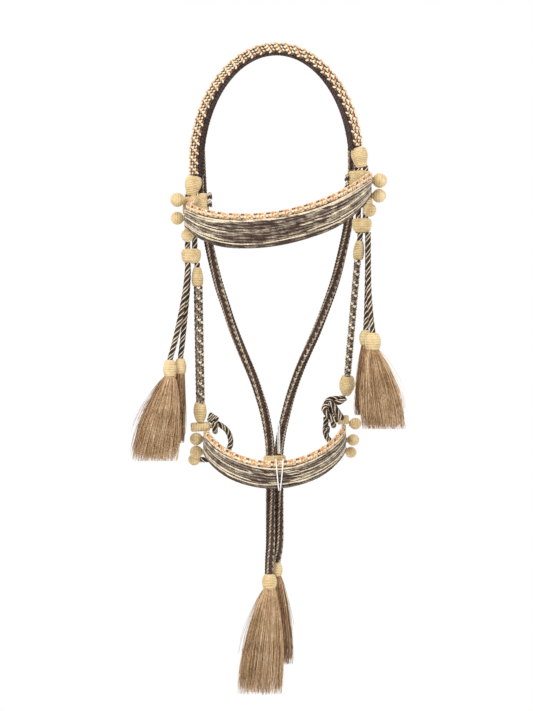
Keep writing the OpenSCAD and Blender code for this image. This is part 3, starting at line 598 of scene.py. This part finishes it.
LEFT_CAP = LEFT_TOP + vec(4.5, -13.6, -6.5)
RIGHT_CAP = RIGHT_TOP + vec(-1.5, -13.6, -11)
weave_band("browband_weave", "browband", BROW, "headstall", 10, 62, 4)
weave_piping("browband_edge", "browband_piping", BROW, "headstall", 1.5, 178.5,
             LEFT_CAP + vec(-1.5, -2.5, -5.5))
weave_band("noseband_weave", "noseband", NOSE, "noseband_set", 9, 20, 9)
weave_piping("noseband_edge", "noseband_piping", NOSE, "noseband_set", 12, 168)


def end_of(band, a):
    return band.point(np.array([a]))[0], band.high(np.array([a]))[0]


WRAP_T = 6.5


def wrap(shape, end, low, high):
    """A flat sewn wrap behind a band's end."""
    half_x, half_y, z0, z1 = WRAP_T / 2, 2.1, end[2] + low, end[2] + high
    length = z1 - z0
    knit(shape, vec(end[0], end[1] + 2.05, z1), np.eye(3),
         [(0, 0), (0.3, 1.0), (1.2, 1.75), (2.4, half_y), (length - 1, half_y), (length, 1.4), (length, 0)],
         span=half_x - half_y, relief=0.3)


BROW_LEFT, BROW_LEFT_H = end_of(BROW, math.pi)
BROW_RIGHT, BROW_RIGHT_H = end_of(BROW, 0)
NOSE_LEFT_END, _ = end_of(NOSE, math.pi)
NOSE_RIGHT_END, _ = end_of(NOSE, 0)


def left_brow_wrap(s):
    wrap(s, BROW_LEFT, -BROW_LEFT_H / 2 + 0.5, BROW_LEFT_H / 2 + 0.5)
    add_ball(s, LEFT_CAP, 6.5, (0, 1, 0), 6.7)


def right_brow_wrap(s):
    wrap(s, BROW_RIGHT, -BROW_RIGHT_H / 2 - 5, BROW_RIGHT_H / 2 - 1)
    add_ball(s, RIGHT_CAP, 6.5, (0, 1, 0), 6.7)


def left_brow_balls(s):
    add_ball(s, vec(BROW_LEFT[0] - 12.5, LEFT_CAP[1], LEFT_CAP[2]), 9.8, (1, 0, 0), 10.4)
    add_ball(s, BROW_LEFT + vec(-(WRAP_T / 2 + 9.75), 2, 0.2), 9.1, (1, 0, 0), 9.7)
    add_ball(s, BROW_LEFT + vec(1.5, -1.5, -BROW_LEFT_H / 2 - 12.05), 8.8, (0, 0, 1), 11.6)


def right_brow_balls(s):
    add_ball(s, BROW_RIGHT + vec(WRAP_T / 2 + 11.15, 2, 10), 10.1, (-1, 0, 0), 10.7)
    add_ball(s, BROW_RIGHT + vec(WRAP_T / 2 + 10.25, 2, -11.2), 9.6, (-1, 0, 0), 10.2)
    add_ball(s, BROW_RIGHT + vec(0, -2.5, -BROW_RIGHT_H / 2 - 19.05), 9.4, (0, 0, 1), 14.0)


crochet_piece("left_brow_cap", "headstall", ["left_browband_wrap"], left_brow_wrap)
crochet_piece("right_brow_cap", "headstall", ["right_browband_wrap"], right_brow_wrap)
crochet_piece("left_brow_buttons", "headstall", ["left_browband_balls"], left_brow_balls)
crochet_piece("right_brow_buttons", "headstall", ["right_browband_balls"], right_brow_balls)
crochet_piece("left_nose_wrap", "noseband_set", ["left_noseband_wrap"],
              lambda s: wrap(s, NOSE_LEFT_END, -14, 15.9))
crochet_piece("right_nose_wrap", "noseband_set", ["right_noseband_wrap"],
              lambda s: wrap(s, NOSE_RIGHT_END, -14, 21.9))


def bar(centre, length, side):
    """The toggle at a noseband end, with the thin pin that the tie loop turns on."""
    start = centre - BAR_AXIS * length / 2 * side
    rim = [(0, 0), (0, 4.6), (0.7, 6.0), (2, 6.5)]
    profile = rim + [(length - depth, r) for depth, r in reversed(rim)]
    pin = [(0, 2.9), (11.5, 2.9), (12, 2.2), (12, 0)]

    def build(s):
        knit(s, start, hang_rotation(BAR_AXIS * side), profile, relief=0.4)
        knit(s, centre - BAR_AXIS * length / 2 * side, hang_rotation(-BAR_AXIS * side), pin, relief=0.15)
    return build


crochet_piece("left_nose_toggle", "noseband_set", ["left_noseband_bar"], bar(LEFT_BAR, 27, -1))
crochet_piece("right_nose_toggle", "noseband_set", ["right_noseband_bar"], bar(RIGHT_BAR, 16, 1))


def left_nose_balls(s):
    for z in (5.2, -13.2):
        add_ball(s, NOSE_LEFT_END + vec(-(WRAP_T / 2 + 9.65), 2, z), 9, (1, 0, 0), 9.6)


def right_nose_balls(s):
    x = RIGHT_BAR[0] + 8 + 8.3 + 1.05
    add_ball(s, vec(x, LEFT_BAR[1] + 2, RIGHT_BAR[2] - 5.5), 8.3, (-1, 0, 0), 8.9)
    add_ball(s, vec(x - 3, LEFT_BAR[1] + 2, RIGHT_BAR[2] - 28.6), 8.3, (-1, 0, 0),
             x - 3 - NOSE_RIGHT - WRAP_T / 2 - 0.05)


crochet_piece("left_nose_buttons", "noseband_set", ["left_noseband_balls"], left_nose_balls)
crochet_piece("right_nose_buttons", "noseband_set", ["right_noseband_balls"], right_nose_balls)

# ---- Crown ----


def crown_piece():
    shape = Shape()
    a = np.radians(np.linspace(9, 185, 240))
    centre, out, back = (np.array(x) for x in zip(*[crown_frame(t) for t in a]))
    half_t, half_d = CROWN_T / 2, CROWN_D / 2
    for i, shift in enumerate((-1, 0, 1)):
        line = centre + out * shift * 4.1
        for face in (-1, 1):
            start = i * 2 if face < 0 else i
            plait(shape, line + back * face * (half_d - 1.2), back * face, 5.6, 4.5, [0, 2, 1, 0, 0, 3],
                  start=start)
    for i, shift in enumerate((-1.5, -0.5, 0.5, 1.5)):
        line = centre + back * shift * 4.7 + out * (half_t - 1.2)
        plait(shape, line, out, 5.6, 4.5, [0, 1, 3, 0, 2, 0], start=i)
    core = [(half_t - 1.5, -half_d + 2), (half_t - 1.5, half_d - 2),
            (-half_t, half_d - 2), (-half_t, -half_d + 2)]
    shape.grid(np.stack([centre + out * u + back * v for u, v in core], 1), 4)
    shape.finish("crown_plait", "headstall", [CREAM, ORANGE, RUST, BROWN, BLACK], ["crown_braid"], "braid")

    lining = Shape()
    a = np.radians(np.linspace(7.4, 185, 242))
    centre, out, back = (np.array(x) for x in zip(*[crown_frame(t) for t in a]))
    for i in range(9):
        line = centre - out * (half_t + 1.0) + back * (i - 4) * 1.85
        twist(lining, line, 1.0, [0, 1], pitch=5, turn=i * 0.7, sides=5, across=back)
    lining.finish("crown_ribbed_lining", "headstall", [BLACK, BROWN], ["crown_lining"], "lining")


crown_piece()

# ---- Cheek straps ----

for side, (pivot, hang, link, turn, _) in CHEEKS.items():
    rotation = hang_rotation(hang, turn)
    x_axis, y_axis = rotation[:, 0], rotation[:, 1]
    start = pivot + hang * (link + TOP_KNOT_L)
    run = start + hang * np.linspace(0, CHEEK_L, 170)[:, None]
    shape = Shape()
    front = run - y_axis * 6.5
    for i, angle in enumerate((-90, -30, -150)):
        normal = x_axis * math.cos(math.radians(angle)) + y_axis * math.sin(math.radians(angle))
        facing = np.broadcast_to(normal, run.shape)
        plait(shape, front + normal * 3.1, facing, 4.9, 3.7, [0, 3, 1, 0, 2, 3, 1, 2], thick=1.35, start=i)
    shape.strand(front, 3.6, 3, 10)
    shape.finish(side + "_cheek_plait", side + "_cheek", [CREAM, GREIGE, GREY, BROWN],
                 [side + "_cheek_piping"], "piping")
    shape = Shape()
    for face in (-1, 1):
        for j in range(4):
            line = run + y_axis * (-0.4 + j * 3.0) + x_axis * face * 1.25
            twist(shape, line, 1.65, [0 if j % 2 else 1, 2], pitch=10 + j, turn=j * 1.1,
                  across=np.broadcast_to(y_axis, run.shape))
    shape.strand(run + y_axis * 10, 1.5, 2, 8)
    core = [(1.6, -2), (1.6, 10), (-1.6, 10), (-1.6, -2)]
    shape.grid(np.stack([run + x_axis * u + y_axis * v for u, v in core], 1), 3)
    shape.finish(side + "_cheek_weave", side + "_cheek", [GREIGE, GREY, BROWN, BLACK],
                 [side + "_cheek_band"], "woven_band")

# ---- Fixed cords ----

DARK_CORD = [BLACK, CREAM, BROWN]
for side, top, length in (("left", LEFT_TOP, 94.0), ("right", RIGHT_TOP, 91.0)):
    shape = Shape()
    for x in (-5, 5):
        line = top + vec(x, 0, 0) + vec(0, 0, -1) * np.linspace(-2.5, length, 80)[:, None]
        twist(shape, line, CORD_R, TWIST_TONES, pitch=22, turn=x)
    shape.finish(side + "_hanger_pair", "headstall", DARK_CORD, [side + "_hanger_cords"], "dark_cord")

for side, (pivot, hang, link, _, _) in CHEEKS.items():
    shape = Shape()
    twist(shape, pivot + hang * np.linspace(-4.6, link + 3, 24)[:, None], CORD_R, TWIST_TONES, pitch=24)
    shape.finish(side + "_cheek_cord", side + "_cheek", DARK_CORD, [side + "_cheek_link"], "dark_cord")


def ring_path(centre, axis, radius, count=60):
    """A closed circle about an axis, its ends just meeting."""
    axis = unit_rows(axis)
    u = unit_rows(np.cross(axis, vec(0.2, 0.3, 1)))
    v = np.cross(axis, u)
    angle = np.linspace(0, 2 * math.pi * 0.995, count)[:, None]
    return centre + radius * (np.cos(angle) * u + np.sin(angle) * v)


def tilt(x, y, z):
    """The axis that a ring's Z takes after turns about X, Y and Z."""
    m = Matrix.Rotation(math.radians(z), 3, "Z") @ Matrix.Rotation(math.radians(y), 3, "Y")
    return np.array(m @ Matrix.Rotation(math.radians(x), 3, "X"))[:, 2]


def coil(shape, start, end, radius, turns, cord_r):
    """Turns of cord wound tightly side by side along a line."""
    axis = unit_rows(end - start)
    u = unit_rows(np.cross(axis, vec(0.1, 1, 0.2)))
    v = np.cross(axis, u)
    share = np.linspace(0, 1, int(turns * 26))[:, None]
    angle = 2 * math.pi * turns * share
    line = start + (end - start) * share + radius * (np.cos(angle) * u + np.sin(angle) * v)
    twist(shape, line, cord_r, TWIST_TONES, pitch=18)


def tie_knot(side, loop, start, end, turns, bead):
    shape = Shape()
    twist(shape, ring_path(loop, BAR_AXIS, 7.4), CORD_R * 0.98, TWIST_TONES, pitch=17)
    if turns:
        coil(shape, loop + start, loop + end, 4.0, turns, 3.1)
    if bead is not None:
        twist(shape, ring_path(loop + bead, tilt(20, 100, 0), 3.6, 36), 3.3, TWIST_TONES, pitch=15)
    shape.finish(side + "_tie_turns", side + "_cheek", DARK_CORD, [side + "_tie_knot"], "dark_cord")


tie_knot("left", LEFT_LOOP, vec(-8, -3, 14), vec(3, -1, 7), 2.6, None)
tie_knot("right", RIGHT_LOOP, None, None, 0, vec(-9, 0, -14))

shape = Shape()
knot_end = RIGHT_PIVOT + RIGHT_HANG * 226.05
for y, points in (
        (4.1, [(-1, -3), (-10, -4.5), (-20, -5), (-27, -9), (-27, -15), (-21, -22), (-13, -29), (-8, -34)]),
        (-4.1, [(-1, -3), (-9, -9), (-19, -11), (-29, -14), (-31, -20), (-26, -27), (-19, -33), (-13, -37)]),
        (-9, [(-24, -9), (-21, -11), (-16, -17), (-11, -24), (-7, -31), (-6, -34)])):
    line = smooth([knot_end + vec(x, y, z) for x, z in points], 1.2)
    twist(shape, line, CORD_R, TWIST_TONES, pitch=24, turn=y)
shape.finish("right_tie_pair", "right_cheek", DARK_CORD, ["right_tie_strands"], "dark_cord")

for side, top, reach, levels in (
        ("left", LEFT_TOP, 18.5, (0, -11.2)),
        ("right", RIGHT_TOP, 13, (-14.5, -25.7))):
    shape = Shape()
    inward = 1 if side == "left" else -1
    for z in levels:
        centre = top + vec(inward * (5 + reach + 2.75), 0, z)
        for shift in (-1.3, 1.3):
            ring = ring_path(centre + vec(shift, 0, 0), vec(1, 0, 0.15 * shift), 3.4, 40)
            twist(shape, ring, 1.8, [0, 1, 0], pitch=7)
    shape.finish(side + "_collar_turns", "headstall", [BROWN, CREAM], [side + "_collar_knots"], "dark_cord")

# ---- Free cords ----

for side, loop, route, r in (("left", LEFT_LOOP, LEFT_TIE, 8.3), ("right", RIGHT_LOOP, RIGHT_TIE, 8.0)):
    path = smooth([loop + vec(*p) for p in [(3, 4, 4) if side == "left" else (-10, 9, 4)] + route], 1.4)
    shape = Shape()
    twist(shape, path, CORD_R, TWIST_TONES, pitch=20)
    cord = shape.finish(side + "_tie_tail", side + "_cheek", DARK_CORD, [side + "_tie_cord"], "dark_cord")
    ball = Shape()
    ending = unit_rows(vec(*route[-1]) - vec(*route[-2]))
    add_ball(ball, path[-1] + ending * (r + 0.05), r, tuple(-ending), r + 0.05)
    ball = ball.finish(side + "_tie_button", side + "_cheek", CROCHET, [side + "_tie_ball"], "crochet")

HAIR_SHAPE = [(0, 0), (0.15, 0.3), (0.4, 0.62), (0.7, 0.9), (0.93, 1.0), (1, 0.98)]


def hair_bunch(shape, top, r, length, lean, spread, count, seed, tones):
    """Loose horsehair under a knot: many fine strands that fan out to an oval."""
    draw = np.random.RandomState(seed)
    share = np.sqrt(draw.uniform(0.02, 1, count))
    angle = draw.uniform(0, 2 * math.pi, count)
    reach = np.clip(draw.normal(0.95, 0.06, count), 0.7, 1.03)
    wild = np.where(draw.uniform(0, 1, count) < 0.07, 2.2, 1.0)
    short = draw.uniform(0, 1, count) < 0.16
    reach[short] *= draw.uniform(0.6, 0.95, short.sum())
    t = np.linspace(0, 1, 10)
    open_at = np.interp(t, *zip(*HAIR_SHAPE))
    phase, sway = draw.uniform(0, 6.28, (2, count)), draw.uniform(0.3, 2.2, (2, count))
    for i in range(count):
        rx = r + (spread[0] - r) * open_at * (0.96 + 0.1 * share[i])
        ry = r + (spread[1] - r) * open_at
        wave = [wild[i] * sway[k, i] * t * np.sin(3.2 * t + phase[k, i]) for k in (0, 1)]
        path = np.stack([
            top[0] + lean[0] * t + share[i] * rx * math.cos(angle[i]) + wave[0],
            top[1] + lean[1] * t + share[i] * ry * math.sin(angle[i]) + wave[1],
            top[2] + 1.5 - (length * reach[i] + 1.5) * t], -1)
        width = 0.42 * (1 - 0.55 * t)
        tone = tones[draw.randint(len(tones))]
        shape.strand(path, width, tone, 3)


def tassel_end(path):
    return path[-1] - vec(0, 0, 0.05)


TASSEL_KNOTS = {
    "left_front_tassel": (9.4, 23, 6.5, 114, (-21, -8), (31, 12), 1500, [0, 1, 1, 2]),
    "left_back_tassel": (8.5, 22, 6, 94, (-5, 8), (10, 12), 900, [1, 2, 3, 3]),
    "right_front_tassel": (11.3, 24, 7, 106, (14, -14), (29, 12), 1500, [0, 1, 1, 2]),
    "right_back_tassel": (9.3, 21, 6, 95, (-5, -7), (11, 8), 800, [1, 2, 3, 3]),
}
knots = {"left": Shape(), "right": Shape()}
hair = {"left": Shape(), "right": Shape()}
for index, (name, (pivot, front, route)) in enumerate(TASSELS.items()):
    side = name.split("_")[0]
    knot_r, knot_l, hair_r, hair_l, lean, spread, count, tones = TASSEL_KNOTS[name]
    path = smooth([pivot + vec(0, front * TASSEL_PITCH / 2, 0) + vec(*p) for p in [(0, 0, 4.4)] + route], 1.5)
    shape = Shape()
    twist(shape, path, CORD_R, TWIST_TONES, pitch=24, turn=index)
    cord = shape.finish(name + "_laid_cord", side + "_tassels", DARK_CORD, [name + "_cord"], "dark_cord")
    end = tassel_end(path)
    knit(knots[side], end, np.eye(3), knot_profile(knot_l, knot_r * 0.62, knot_r, knot_r * 0.78, 0.5))
    hair_bunch(hair[side], end - vec(0, 0, knot_l), hair_r, hair_l, lean, spread, count, 40 + index, tones)
for side in ("left", "right"):
    knot_piece = knots[side].finish(side + "_tassel_gourds", side + "_tassels", CROCHET,
                                    [side + "_tassel_knots"], "crochet")
    hair[side].finish(side + "_tassel_horsehair", side + "_tassels", HAIR, [side + "_tassel_hair"], "hair")


def plaited_rope(shape, path, radius, columns=8):
    """A round rope: lengthwise columns of slanted stitches, some flecked and some dark."""
    _, u, v = frames(path)
    s = distances(path)
    shape.strand(path, radius * 0.76, 0, 12)
    for i in range(columns):
        angle = (2 * math.pi * (i / columns + s / 900) + 0.35)[:, None]
        normal = np.cos(angle) * u + np.sin(angle) * v
        tones = ([3, 0, 1, 2], [0, 2, 0, 0], [1, 2, 3, 0], [0, 0, 3, 0])[i % 4]
        plait(shape, path + normal * radius * 0.72, normal, radius * 0.84, 4.4, tones, thick=radius * 0.24,
              lean=1.7, start=i)


rope_knots, rope_hair, ropes = Shape(), Shape(), []
for index, (side, route, knot_r, knot_l, hair_r, hair_l, lean, spread, count, tones) in enumerate((
        ("left", LEFT_ROPE, 10.5, 21, 8, 141, (-13, -7), (30, 15), 1700, [0, 1, 1, 2]),
        ("right", RIGHT_ROPE, 9.2, 20.5, 6.5, 122, (4, 10), (20, 12), 1000, [1, 2, 2, 3]))):
    path = smooth(route, 1.5)
    shape = Shape()
    plaited_rope(shape, path, 6.25)
    ropes.append((shape.finish(side + "_throat_braid", "throat_ropes", [BROWN, FLECK, BLACK, GREIGE],
                               [side + "_throat_rope"], "rope"), path))
    end = path[-1] - vec(0, 0, 0.05)
    knit(rope_knots, end, np.eye(3), knot_profile(knot_l, knot_r * 0.62, knot_r, knot_r * 0.78, 0.5))
    hair_bunch(rope_hair, end - vec(0, 0, knot_l), hair_r, hair_l, lean, spread, count, 60 + index, tones)
rope_knots = rope_knots.finish("throat_gourds", "throat_ropes", CROCHET, ["throat_knots"], "crochet")
rope_hair.finish("throat_horsehair", "throat_ropes", HAIR, ["throat_hair"], "hair")

# ---- White tie thread ----

mid = NOSE.point(np.array([math.radians(86.3)]))[0]
shape = Shape()
for side in (-1, 1):
    path = smooth([mid + vec(*p) for p in (
        (side * 5, 7.3, 23.3), (side * 5, -5.3, 25.3), (side * 4.5, -7.3, 21), (side * 3.5, -5, 7.5),
        (side * 2, -5, -7.5), (side * 1.2, -5, -14.5), (side * 1.2, 0.5, -16.7),
        (side * 1.2, 5, -14.7))], 0.8)
    twist(shape, path, 0.95, [0, 0, 0], pitch=4, sides=5)
shape.finish("noseband_tie_thread", "noseband_set", [WHITE], ["noseband_thread"], "white_thread")
shape = Shape()
for side in (-1, 1):
    points = [(3.5, 16.9, -559.5), (3.3, 16.9, -538.2), (2.8, 16.6, -517)]
    path = smooth([(x + side * 1.1, y, z) for x, y, z in points], 0.8)
    twist(shape, path, 0.95, [0, 0, 0], pitch=4, sides=5)
shape.finish("rope_tie_thread", "throat_ropes", [WHITE], ["rope_thread"], "white_thread")

# ---- Stage ----

FLOOR_R, FLOOR_Z, FLOOR_SIDES = 1.5, -1.25, 96
floor_mesh = bpy.data.meshes.new("floor")
angles = [2 * math.pi * i / FLOOR_SIDES for i in range(FLOOR_SIDES)]
floor_mesh.from_pydata([(FLOOR_R * math.cos(a), FLOOR_R * math.sin(a), FLOOR_Z) for a in angles], [],
                       [list(range(FLOOR_SIDES))])
floor = bpy.data.objects.new("floor", floor_mesh)
floor_material = bpy.data.materials.new("floor_paper")
floor_material.use_nodes = True
paper = floor_material.node_tree.nodes["Principled BSDF"]
paper.inputs["Base Color"].default_value = (0.9, 0.9, 0.9, 1)
paper.inputs["Roughness"].default_value = 0.9
floor_mesh.materials.append(floor_material)
bpy.context.collection.objects.link(floor)

world = bpy.data.worlds.new("world")
world.use_nodes = True
world.node_tree.nodes["Background"].inputs["Color"].default_value = (1, 1, 1, 1)
world.node_tree.nodes["Background"].inputs["Strength"].default_value = 1.0
bpy.context.scene.world = world


def area_light(name, place, target, size, power):
    data = bpy.data.lights.new(name, "AREA")
    data.size = size
    data.energy = power
    light = bpy.data.objects.new(name, data)
    light.location = place
    light.rotation_euler = (Vector(target) - Vector(place)).to_track_quat("-Z", "Y").to_euler()
    bpy.context.collection.objects.link(light)


area_light("key_light", (-1.2, -2.0, 1.0), (0, 0, -0.4), 1.2, 32)
area_light("fill_light", (1.8, -1.4, 0.2), (0, 0, -0.4), 1.6, 9)
bpy.context.scene.view_settings.view_transform = "Standard"
